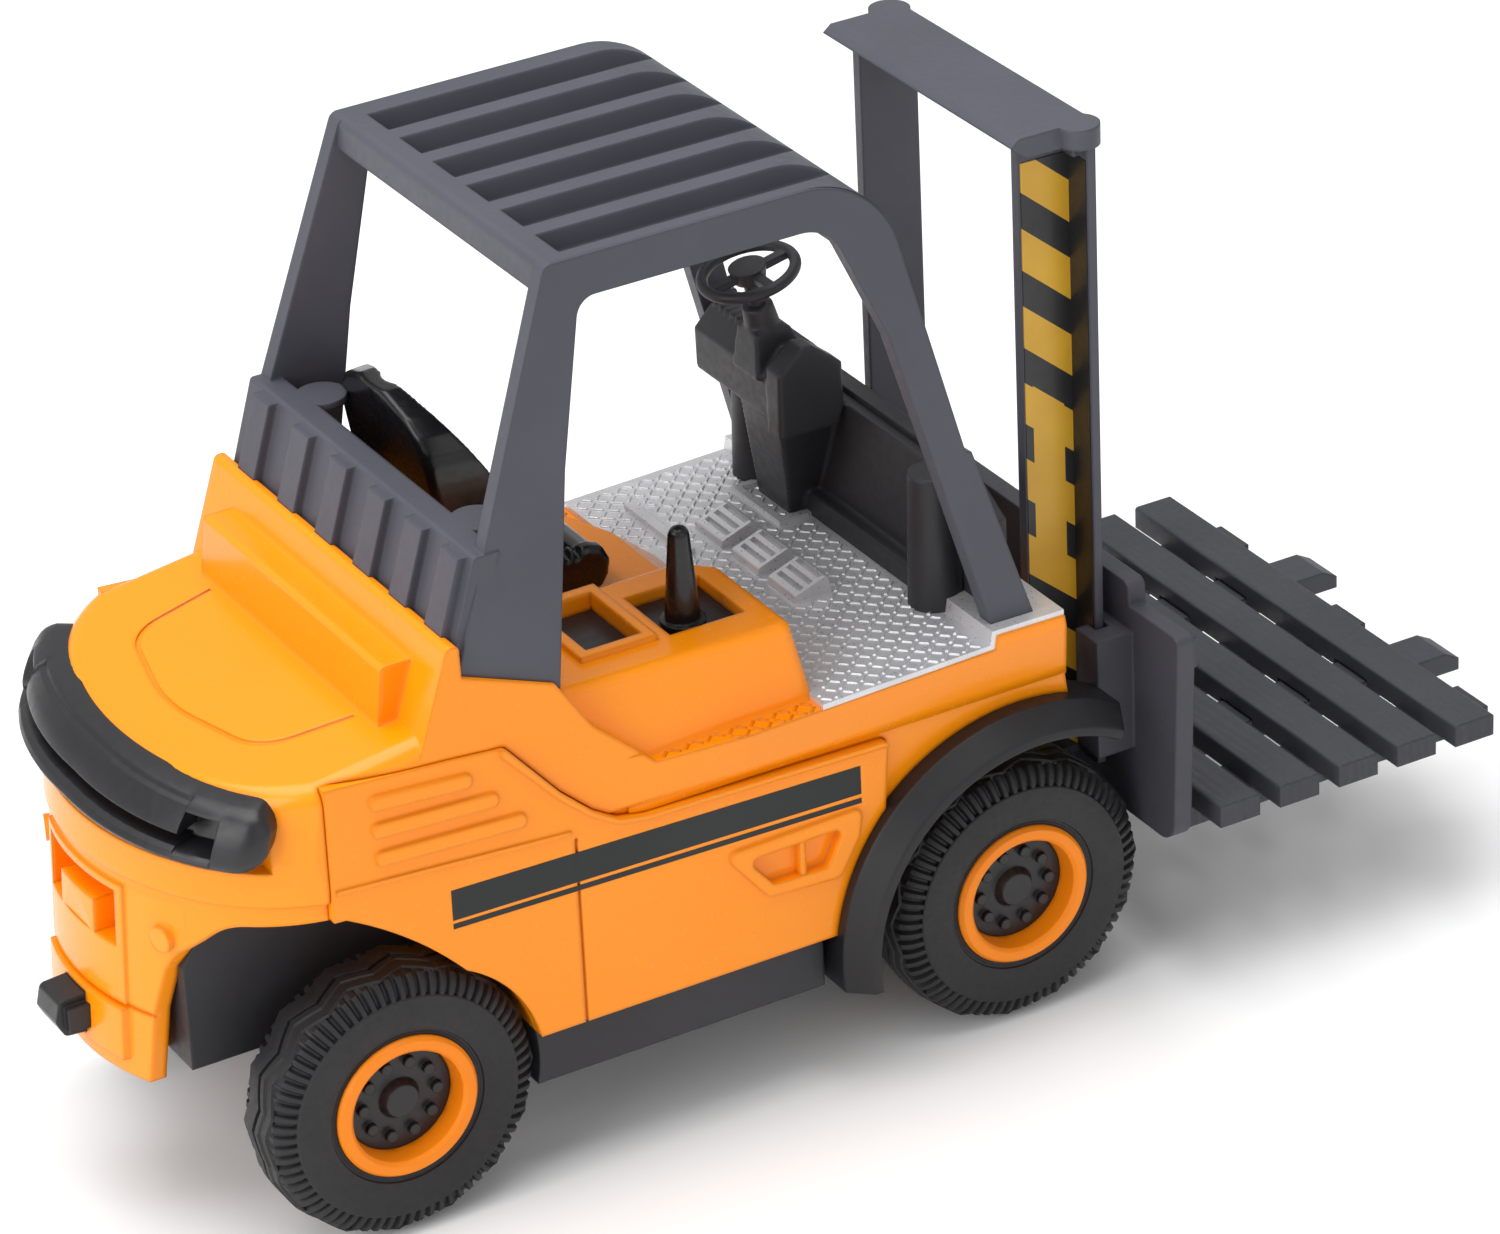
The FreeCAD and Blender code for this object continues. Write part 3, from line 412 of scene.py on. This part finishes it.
def tyre(name, axle, side, body, cad_node):
    """Rubber tyre with zig-zag terraces, cut shoulder lugs and a moulded sidewall step."""
    mesh = bmesh.new()
    rings = []
    for step in range(TYRE_STEPS):
        turn = 2 * math.pi * step / TYRE_STEPS
        ring = []
        for point in TYRE_SECTION:
            across, radius = tyre_point(*point, step)
            spot = (axle[0] + radius * MM * math.cos(turn), side * (TYRE_INNER_Y + across) * MM,
                    axle[2] + radius * MM * math.sin(turn))
            ring.append(mesh.verts.new(spot))
        rings.append(ring)
    join_rings(mesh, rings, closed=True)
    obj = piece(name, mesh, RUBBER, body, crease_deg=24.0)
    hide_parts(cad_node)


for end, axle in (("rear", REAR_AXLE), ("front", FRONT_AXLE)):
    for side, hand in ((1, "left"), (-1, "right")):
        tyre("tread_" + end + "_" + hand, axle, side, end + "_wheels", "tyre_" + end + "_" + hand)

# ---- grille bar ---------------------------------------------------------------------------
TAIL_CENTRE_X = -3.0
TAIL_REACH = 22.0
TAIL_WIDTH = 29.6
TAIL_LEAN = 0.618
TAIL_BREAK_Z = 52.0
BAND_DEG = 37.9
BAND_STEP_DEG = 1.9
BAND_STEPS = 20
TAPER_DEG = 54.0
END_DEG = 62.0
END_BULGE = 1.8
BULGE_DEG = 55.0
BULGE_POWER = 1.3
BAND_STAND = 0.85
LEAST_SHRINK = 0.04
# (distance out from the body, height) down the bar: bonnet edge, ledge, band, slot, rail
BAR_SECTION = [
    (-1.2, 59.5), (0.15, 59.35), (0.75, 59.0), (0.85, 58.6), (1.5, 58.35), (2.05, 57.3),
    (2.2, 56.3), (2.05, 55.5), (1.2, 55.2), (-1.0, 55.1), (-1.0, 54.1), (1.5, 54.0),
    (2.1, 53.6), (2.1, 53.0), (1.5, 52.5), (-1.2, 52.2)]
POCKET_SECTION = [
    (-1.2, 59.5), (0.15, 59.35), (0.85, 59.1), (1.3, 58.9), (1.8, 58.6), (2.1, 58.3),
    (2.1, 58.0), (1.6, 57.8), (1.2, 57.7), (-1.0, 57.6), (-1.0, 53.7), (1.5, 53.6),
    (2.1, 53.3), (2.1, 52.9), (1.5, 52.5), (-1.2, 52.2)]
CAP_SECTION = [
    (-1.2, 59.5), (0.15, 59.35), (0.9, 59.1), (1.5, 58.8), (2.0, 58.3), (2.4, 57.5),
    (2.6, 56.6), (2.65, 55.8), (2.65, 55.2), (2.6, 54.6), (2.5, 54.0), (2.3, 53.5),
    (2.0, 53.0), (1.6, 52.6), (0.9, 52.3), (-1.2, 52.2)]
CAP_MIDDLE = (-1.0, 55.6)


def tail_point(angle_deg, out, z):
    """A point standing out from the tail's curved wall; 0 degrees is dead astern."""
    reach = TAIL_REACH - TAIL_LEAN * max(z - TAIL_BREAK_Z, 0.0)
    turn = math.radians(angle_deg)
    normal = Vector((-math.cos(turn) / reach, math.sin(turn) / TAIL_WIDTH)).normalized()
    bulge = END_BULGE * (abs(math.sin(turn)) / math.sin(math.radians(BULGE_DEG))) ** BULGE_POWER
    stand = out * BAND_STAND + bulge if out > 0 else out
    return toy(TAIL_CENTRE_X - reach * math.cos(turn) + normal[0] * stand,
               TAIL_WIDTH * math.sin(turn) + normal[1] * stand, z)


def bar_stations():
    """Angles along the bar with the section that holds there, close together where it steps."""
    cap_angles = (END_DEG, 61.7, 61.0, 60.0, 58.5, 57.0, 55.5, TAPER_DEG, 51.0, 48.3)
    left = [(angle, CAP_SECTION) for angle in cap_angles]
    left += [(angle, POCKET_SECTION) for angle in (47.9, 45.0, 42.0, 39.0, 38.3)]
    left += [(BAND_DEG - BAND_STEP_DEG * k, BAR_SECTION) for k in range(BAND_STEPS)]
    right = [(-angle, section) for angle, section in reversed(left)]
    return left + [(0.0, BAR_SECTION)] + right


def grille_bar():
    """Black bar round the tail: a convex band over a deep slot and a thin rail, with fat closed ends."""
    mesh = bmesh.new()
    rings = []
    for angle, section in bar_stations():
        taper = min(max((abs(angle) - TAPER_DEG) / (END_DEG - TAPER_DEG), 0.0), 1.0)
        shrink = max(math.sqrt(1.0 - taper ** 2), LEAST_SHRINK)
        ring = []
        for out, z in section:
            shrunk_out = CAP_MIDDLE[0] + (out - CAP_MIDDLE[0]) * shrink
            shrunk_z = CAP_MIDDLE[1] + (z - CAP_MIDDLE[1]) * shrink
            ring.append(mesh.verts.new(tail_point(angle, shrunk_out, shrunk_z)))
        rings.append(ring)
    join_rings(mesh, rings)
    obj = piece("grille_bar_moulding", mesh, SATIN_BLACK, "truck", crease_deg=24.0)
    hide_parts("rear_grille_bar")


grille_bar()

# ---- chequer plate ------------------------------------------------------------------------
CHEQUER_PITCH = 1.42
STUD_LENGTH = 1.36
STUD_WIDTH = 0.52
STUD_HEIGHT = 0.17
# how far the plates rise towards the front, and where their level is given
FLOOR_RISE = 1.2 / 43.9
FLOOR_LEVEL_X = 33.4
CAST_FROM_Z = 60.0
LEVEL_SLACK = 0.12
# (how far in from the stud's outline, height over the plate) of a stud's foot, shoulder and top
STUD_RINGS = ((0.0, -0.05), (0.10, STUD_HEIGHT * 0.7), (0.17, STUD_HEIGHT))


def add_stud(mesh, middle, along, plate_z):
    """One raised bar with sloped sides; plate_z is in metres."""
    beside = Vector((-along[1], along[0]))
    rings = []
    for shrink, lift in STUD_RINGS:
        ring = []
        for s, t in ((-1, -1), (1, -1), (1, 1), (-1, 1)):
            flat = middle + along * (s * (STUD_LENGTH / 2 - shrink))
            flat = flat + beside * (t * (STUD_WIDTH / 2 - shrink))
            spot = toy(flat[0], flat[1], 0.0)
            spot[2] = plate_z + lift * MM
            ring.append(mesh.verts.new(spot))
        rings.append(ring)
    join_rings(mesh, rings)


def studs(name, under, area, level, material):
    """Raised bars at alternate diagonals wherever the plate below is bare and level."""
    data = nodes[under].data
    skin = BVHTree.FromPolygons([v.co for v in data.vertices], [f.vertices for f in data.polygons])
    mesh = bmesh.new()
    x0, x1, y0, y1 = area
    for i in range(int((x1 - x0) / CHEQUER_PITCH)):
        for j in range(int((y1 - y0) / CHEQUER_PITCH)):
            x = x0 + CHEQUER_PITCH * (i + 0.5)
            y = y0 + CHEQUER_PITCH * (j + 0.5)
            turn = math.radians(45.0 if (i + j) % 2 else -45.0)
            along = Vector((math.cos(turn), math.sin(turn)))
            places = [Vector((x, y)) + along * (STUD_LENGTH / 2 * s) for s in (-1, 0, 1)]
            hits = [skin.ray_cast(toy(*spot, CAST_FROM_Z), Vector((0, 0, -1)))[0] for spot in places]
            expected = (level + FLOOR_RISE * (x - FLOOR_LEVEL_X)) * MM
            if all(hit is not None and abs(hit[2] - expected) <= LEVEL_SLACK * MM for hit in hits):
                add_stud(mesh, Vector((x, y)), along, hits[1][2])
    piece(name, mesh, material, "truck")


studs("floor_chequer", "floor_plate", (54.9, 76.8, -30.2, 30.2), 51.8, SILVER)
studs("right_step_chequer", "body_shell", (34.5, 54.4, -30.2, -24.0), 51.1, ORANGE)
studs("left_step_chequer", "body_shell", (34.5, 54.4, 22.0, 30.2), 51.1, ORANGE)

# ---- seat ---------------------------------------------------------------------------------
DRIVER_Y = centre_of("seat")[1] / MM
BACK_LOW_Z = 57.4
BACK_HIGH_Z = 86.6
BACK_REAR_X = 24.7
BACK_LEAN = 0.16
BACK_ROWS = 16
BACK_SIDES = 24
# shares of the back's height: where it is widest, and where the crown starts to round over
WIDEST_AT = 0.72
CROWN_AT = 0.70
CROWN_SHARE = 0.31
CROWN_POWER = 2.4
HIP_HALF = 9.2
SHOULDER_SWELL = 2.2
TIP_HALF = 1.6
WING_REACH = 9.4
WING_FALL = 6.6
WING_FALL_AT = 0.50
WING_FALL_POWER = 1.3
# shares of the way across that the flat middle takes, and of the half width that it and a wing take
BACK_FLAT = 0.55
FLAT_WIDTH = 0.95
WING_WIDTH = 0.05
BACK_DISH = 0.5
WING_POWER = 1.1
SHELL_THICK = 2.2
SHELL_SIDE = 1.7
SHELL_SIDE_LEAST = 0.4
SHELL_RIM = 0.3


def back_width(t):
    """Half width of the backrest at a share t of its height."""
    waist = HIP_HALF + SHOULDER_SWELL * math.sin(math.pi * min(t / WIDEST_AT, 1.0) * 0.5)
    crown = max(1.0 - max((t - CROWN_AT) / CROWN_SHARE, 0.0) ** CROWN_POWER, 0.0)
    return waist * crown ** 0.5


def wing_reach(t):
    """How far the backrest's wings come forward at a share t of its height."""
    fall = max((t - WING_FALL_AT) / (1.0 - WING_FALL_AT), 0.0)
    return WING_REACH - WING_FALL * fall ** WING_FALL_POWER


def back_section(u, half, wing):
    """Across and forward offsets of a flat back that turns into forward wings; u runs -1 to 1."""
    share = abs(u)
    if share < BACK_FLAT:
        across = half * FLAT_WIDTH * share / BACK_FLAT
        forward = BACK_DISH * (share / BACK_FLAT) ** 2
    else:
        turn = (share - BACK_FLAT) / (1.0 - BACK_FLAT)
        across = half * (FLAT_WIDTH + WING_WIDTH * math.sin(turn * math.pi / 2))
        forward = BACK_DISH + (wing - BACK_DISH) * turn ** WING_POWER
    return math.copysign(across, u), forward


def seat_back(mesh):
    """Bucket backrest: a shell whose wings come furthest forward below its middle."""
    rings = []
    for row in range(BACK_ROWS + 1):
        t = row / BACK_ROWS
        z = BACK_LOW_Z + (BACK_HIGH_Z - BACK_LOW_Z) * t
        rear_x = BACK_REAR_X - BACK_LEAN * (z - BACK_LOW_Z)
        half = max(back_width(t), TIP_HALF)
        inner_half = max(half - SHELL_SIDE, SHELL_SIDE_LEAST)
        ring = []
        for k in range(BACK_SIDES + 1):
            across, forward = back_section(-1.0 + 2.0 * k / BACK_SIDES, half, wing_reach(t))
            ring.append(mesh.verts.new(toy(rear_x + forward, DRIVER_Y + across, z)))
        for k in range(BACK_SIDES + 1):
            u = 1.0 - 2.0 * k / BACK_SIDES
            across, forward = back_section(u, inner_half, wing_reach(t) - SHELL_RIM)
            inset = SHELL_THICK * (1.0 - abs(u) ** 4)
            ring.append(mesh.verts.new(toy(rear_x + forward + inset, DRIVER_Y + across, z)))
        rings.append(ring)
    join_rings(mesh, rings)


CUSHION_REAR_X = 25.5
CUSHION_LOW_Z = 57.3
CUSHION_TOP_Z = 62.4
CUSHION_HALF = 9.3
RIB_FIRST_X = 29.2
RIB_PITCH = 1.4
RIB_COUNT = 9
RIB_FLOOR_Z = 61.4
# where the rounded front edge begins, and the height over which the top is shaped
FRONT_EDGE_X = 40.0
SHAPED_FROM_Z = 61.0
BOLSTER_RISE = 0.7
BOLSTER_AT = 0.88
BOLSTER_SPREAD = 0.10
MIDDLE_SINK = 0.5
MIDDLE_SHARE = 0.72
EDGE_ROUND = 0.5


def cushion_profile():
    """(x, z) round the cushion's section along its middle, rear to front, with ribs across the top."""
    profile = [(CUSHION_REAR_X, CUSHION_LOW_Z), (CUSHION_REAR_X, CUSHION_TOP_Z), (28.0, 62.6)]
    for k in range(RIB_COUNT):
        x = RIB_FIRST_X + RIB_PITCH * k
        profile += [(x, CUSHION_TOP_Z), (x + 0.3, RIB_FLOOR_Z), (x + 0.8, RIB_FLOOR_Z),
                    (x + 1.1, CUSHION_TOP_Z)]
    profile += [(42.6, CUSHION_TOP_Z), (44.2, 61.8), (45.1, 60.4), (44.8, 58.6), (44.0, CUSHION_LOW_Z)]
    return profile


def cushion_point(x, across, z):
    """A profile point at a place across the cushion: bolsters raised, middle sunk, sides rounded off."""
    side = abs(across) / CUSHION_HALF
    bolster = BOLSTER_RISE * math.exp(-((side - BOLSTER_AT) / BOLSTER_SPREAD) ** 2)
    sink = MIDDLE_SINK if side < MIDDLE_SHARE else 0.0
    drop = EDGE_ROUND if side == 1.0 else 0.0
    if x > FRONT_EDGE_X:
        x -= drop
    if z > SHAPED_FROM_Z:
        z += bolster - sink - drop
    return toy(x, DRIVER_Y + across, z)


def seat_cushion(mesh):
    """Cushion with ribs across it, a rolled front edge and a raised bolster along each side."""
    rings = []
    for across in (-CUSHION_HALF, -8.9, -7.6, -6.6, 0.0, 6.6, 7.6, 8.9, CUSHION_HALF):
        rings.append([mesh.verts.new(cushion_point(x, across, z)) for x, z in cushion_profile()])
    join_rings(mesh, rings)


def seat():
    """Backrest and cushion as one moulding."""
    mesh = bmesh.new()
    seat_back(mesh)
    seat_cushion(mesh)
    obj = piece("seat_moulding", mesh, GLOSS_BLACK, "truck")
    moulded(obj, voxel=0.22, rounds=3)
    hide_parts("seat")


seat()

# ---- dash ---------------------------------------------------------------------------------
STEERING = next(joint for joint in frame["record"]["behaviour"]["joints"] if joint["name"] == "steering_turn")
COLUMN_AXIS = Vector(STEERING["axis"])
COLUMN_TOP = (Vector(STEERING["pos_m"]) - toy(0, 0, 0)) / MM
# (x, z) outlines of the instrument head and of the glove box beside it
HEAD_OUTLINE = ((69.9, 68.9), (69.8, 74.4), (72.5, 77.2), (76.2, 77.4), (77.9, 70.6), (77.3, 68.8))
BOX_OUTLINE = ((69.4, 67.6), (69.5, 76.0), (72.8, 78.8), (74.4, 78.6), (78.1, 75.6), (78.2, 70.0),
               (77.5, 67.6))
HEAD_LEFT_Y = DRIVER_Y + 13.2
HEAD_RIGHT_Y = DRIVER_Y - 4.4
BOX_RIGHT_Y = DRIVER_Y - 7.3
HEAD_OVERLAP = 0.3
# distances down the steering column to the housing's foot and shoulder and to the collar's ends
HOUSING_FOOT = 13.2
HOUSING_SHOULDER = 7.4
COLLAR_FOOT = 9.0
COLLAR_TOP = 4.4
COLLAR_FOOT_RADIUS = 2.3
COLLAR_TOP_RADIUS = 1.85
VENT_X = (72.0, 76.0)
VENT_Z = (76.6, 77.75)
VENT_FIRST_Y = DRIVER_Y + 5.2
VENT_PITCH = 1.3
VENT_WIDTH = 0.55
VENT_COUNT = 6
DASH_FOOT_Z = 51.7
LEG_FOOT_Z = 51.5
LEG_HEAD_Z = 69.6
BULKHEAD_TOP_Z = 69.9
BULKHEAD_X = (78.5, 80.0)
SKIRT_REAR_X = 76.8
SKIRT_Y = (-16.4, 22.0)
SKIRT_TOP_Z = 55.9
POST_X = 77.6
POST_Y = (-17.4, 22.8)
POST_FOOT_RADIUS = 3.25
POST_TOP_RADIUS = 2.85
POST_SIDES = 36
# (y, z) outline of the bulkhead, its upper corners cut off
BULKHEAD_OUTLINE = ((-20.1, DASH_FOOT_Z), (-20.1, 68.6), (-18.8, BULKHEAD_TOP_Z),
                    (24.2, BULKHEAD_TOP_Z), (25.5, 68.6), (25.5, DASH_FOOT_Z))


def down_column(distance):
    """A point on the steering column, in the toy's millimetres."""
    return COLUMN_TOP - COLUMN_AXIS * distance


def box_points(x0, x1, y0, y1, z0, z1):
    return [(x, y, z) for x in (x0, x1) for y in (y0, y1) for z in (z0, z1)]


def add_slab(mesh, outline, y0, y1):
    """An (x, z) outline carried across the toy from y0 to y1."""
    add_hull(mesh, [(x, y, z) for y in (y0, y1) for x, z in outline])


def column_housing(mesh):
    """Tapered housing that carries the steering column, and the round collar out of its top."""
    foot = down_column(HOUSING_FOOT)
    shoulder = down_column(HOUSING_SHOULDER)
    foot_points = [(foot[0] + dx, DRIVER_Y + dy, foot[2]) for dx in (-3.9, 3.6) for dy in (-3.0, 3.0)]
    add_hull(mesh, foot_points + [(shoulder[0] + dx, DRIVER_Y + dy, shoulder[2])
                                  for dx in (-2.2, 2.6) for dy in (-2.2, 2.2)])
    add_rod(mesh, down_column(COLLAR_FOOT), down_column(COLLAR_TOP), COLLAR_FOOT_RADIUS,
            COLLAR_TOP_RADIUS)


def vents(mesh):
    """Row of raised bars along the top of the head."""
    for k in range(VENT_COUNT):
        y = VENT_FIRST_Y + VENT_PITCH * k
        add_hull(mesh, box_points(*VENT_X, y, y + VENT_WIDTH, *VENT_Z))


def leg_and_skirt(mesh):
    """Leg that leans from the floor up to the head, and the low skirt along the bulkhead's foot."""
    add_hull(mesh, [(x, y, LEG_FOOT_Z) for x in (75.3, 79.9) for y in (11.7, 18.9)]
             + [(x, y, LEG_HEAD_Z) for x in (70.1, 79.4) for y in (4.1, 13.5)])
    add_hull(mesh, box_points(SKIRT_REAR_X, BULKHEAD_X[1], *SKIRT_Y, DASH_FOOT_Z, SKIRT_TOP_Z))


def bulkhead(mesh):
    """Upright panel across the front of the cab, with a round post before it near each end."""
    for y in POST_Y:
        add_rod(mesh, (POST_X, y, DASH_FOOT_Z), (POST_X, y, BULKHEAD_TOP_Z), POST_FOOT_RADIUS,
                POST_TOP_RADIUS, POST_SIDES)
    add_hull(mesh, [(x, y, z) for x in BULKHEAD_X for y, z in BULKHEAD_OUTLINE])


def dash():
    """Instrument head on a leaning leg, a glove box, vents, the column's housing and the bulkhead."""
    mesh = bmesh.new()
    add_slab(mesh, HEAD_OUTLINE, HEAD_RIGHT_Y, HEAD_LEFT_Y)
    add_slab(mesh, BOX_OUTLINE, BOX_RIGHT_Y, HEAD_RIGHT_Y + HEAD_OVERLAP)
    column_housing(mesh)
    vents(mesh)
    leg_and_skirt(mesh)
    bulkhead(mesh)
    obj = piece("dash_moulding", mesh, CHARCOAL, "truck")
    moulded(obj, voxel=0.24, rounds=4)
    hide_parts("dash_cowl")


dash()

# ---- studio -------------------------------------------------------------------------------
WORLD_STRENGTH = 0.55
STAGE_REACH = 3.0
STAGE_Z = -0.0002
LIT_CENTRE = Vector((0.0, 0.0, 0.05))

scene.view_settings.view_transform = "Standard"
scene.view_settings.look = "None"
world = bpy.data.worlds.new("studio")
scene.world = world
world.use_nodes = True
background = world.node_tree.nodes["Background"]
background.inputs["Color"].default_value = (1.0, 1.0, 1.0, 1.0)
background.inputs["Strength"].default_value = WORLD_STRENGTH


def floor_sheet():
    """White sheet under the toy."""
    material = bpy.data.materials.new("studio_floor")
    material.use_nodes = True
    tree = material.node_tree
    shader = tree.nodes["Principled BSDF"]
    link(tree, blend_colour(tree, noise(tree, 3.0), (0.90, 0.90, 0.90), (0.93, 0.93, 0.93)),
         shader.inputs["Base Color"])
    shader.inputs["Roughness"].default_value = 0.9
    shader.inputs["Specular IOR Level"].default_value = 0.1
    mesh = bmesh.new()
    mesh.faces.new([mesh.verts.new((x * STAGE_REACH, y * STAGE_REACH, STAGE_Z))
                    for x, y in ((-1, -1), (1, -1), (1, 1), (-1, 1))])
    data = bpy.data.meshes.new("studio_floor")
    mesh.to_mesh(data)
    mesh.free()
    obj = bpy.data.objects.new("studio_floor", data)
    scene.collection.objects.link(obj)
    dress(obj, material)


def soft_light(name, place_at, size, power):
    """Rectangular light that faces the toy; size in metres, power in watts."""
    data = bpy.data.lights.new(name, "AREA")
    data.shape = "RECTANGLE"
    data.size = size[0]
    data.size_y = size[1]
    data.energy = power
    obj = bpy.data.objects.new(name, data)
    obj.location = place_at
    obj.rotation_euler = (LIT_CENTRE - Vector(place_at)).to_track_quat("-Z", "Y").to_euler()
    scene.collection.objects.link(obj)


floor_sheet()
soft_light("top_softbox", (-0.10, 0.05, 0.75), (0.7, 0.7), 5.5)
soft_light("rear_softbox", (-0.80, -0.15, 0.40), (0.6, 0.6), 3.9)
soft_light("side_softbox", (0.10, -0.85, 0.35), (0.8, 0.5), 0.7)

# ---- camera -------------------------------------------------------------------------------
AZIMUTH = math.radians(-27.56)
ELEVATION = math.radians(28.48)
ROLL = math.radians(-3.5)
DISTANCE = 0.74126
TARGET = toy(41.0, 0.0, 52.52)
SENSOR = 36.0
FOCAL_WIDTHS = 4.2657
SHIFT = (0.1084, 0.00947)

back = Vector((math.sin(AZIMUTH) * math.cos(ELEVATION), -math.cos(AZIMUTH) * math.cos(ELEVATION),
               math.sin(ELEVATION)))
right = Vector((math.cos(AZIMUTH), math.sin(AZIMUTH), 0.0))
up = back.cross(right)
image_right = right * math.cos(ROLL) + up * math.sin(ROLL)
image_up = up * math.cos(ROLL) - right * math.sin(ROLL)
camera_data = bpy.data.cameras.new("camera")
camera_data.sensor_width = SENSOR
camera_data.lens = SENSOR * FOCAL_WIDTHS
camera_data.shift_x = SHIFT[0]
camera_data.shift_y = SHIFT[1]
camera_data.clip_start = 0.01
camera = bpy.data.objects.new("camera", camera_data)
turned = Matrix((image_right, image_up, back)).transposed().to_4x4()
camera.matrix_world = Matrix.Translation(TARGET + back * DISTANCE) @ turned
scene.collection.objects.link(camera)
scene.camera = camera
